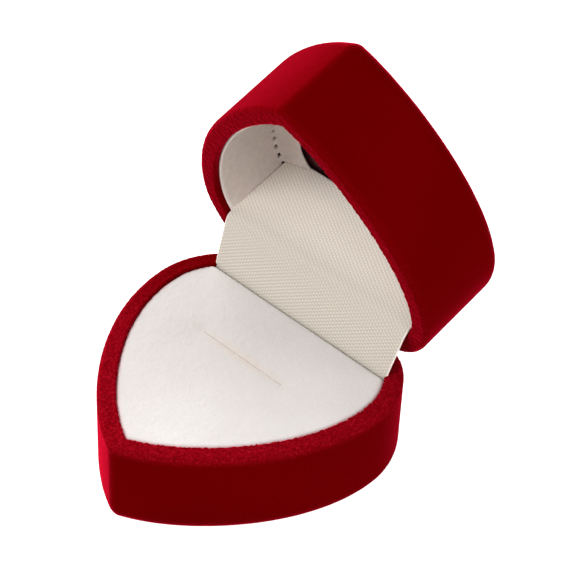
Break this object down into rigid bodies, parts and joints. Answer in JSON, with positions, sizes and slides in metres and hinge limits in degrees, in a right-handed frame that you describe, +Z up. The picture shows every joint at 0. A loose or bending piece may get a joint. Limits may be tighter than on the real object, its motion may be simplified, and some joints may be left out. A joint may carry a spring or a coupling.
{
  "type": "jewelry gift box",
  "caption": "Heart-shaped flocked ring box with a slit pad, standing open, its deep lined lid leaning back on a spring hinge behind a cloth strip.",
  "frame": {"origin": "on the underside, at the middle of the heart where it is widest", "axes": "+Z up, -Y towards the heart's tip (the front), +Y towards the hinge, +X to the right seen from the front"},
  "size_m": [0.048, 0.0633, 0.0655],
  "materials": {
    "red_flock": "matte",
    "white_flock": "matte",
    "foam": "matte",
    "card": "matte",
    "liner_card": "matte",
    "twill": "matte",
    "steel": "satin"
  },
  "bodies": {
    "base": {"base_shell": "red_flock", "ring_pad_cover": "white_flock", "ring_pad_foam": "foam", "pad_card": "card", "base_hinge_leaf": "steel", "hinge_pin": "steel", "snap_spring": "steel", "spring_rivet": "steel", "base_rivet_left": "steel", "base_rivet_right": "steel"},
    "lid": {"lid_shell": "red_flock", "lid_liner": "liner_card", "hinge_cloth": "twill", "hinge_cloth_card": "card", "lid_hinge_leaf": "steel", "lid_rivet_left": "steel", "lid_rivet_right": "steel"}
  },
  "joints": [
    {"name": "lid_hinge", "type": "hinge", "parent": "base", "child": "lid", "pos_m": [0, 0.0126, 0.01665], "axis": [-1, 0, 0], "range_deg": [-75, 0], "deforming": ["hinge_cloth"]}
  ]
}
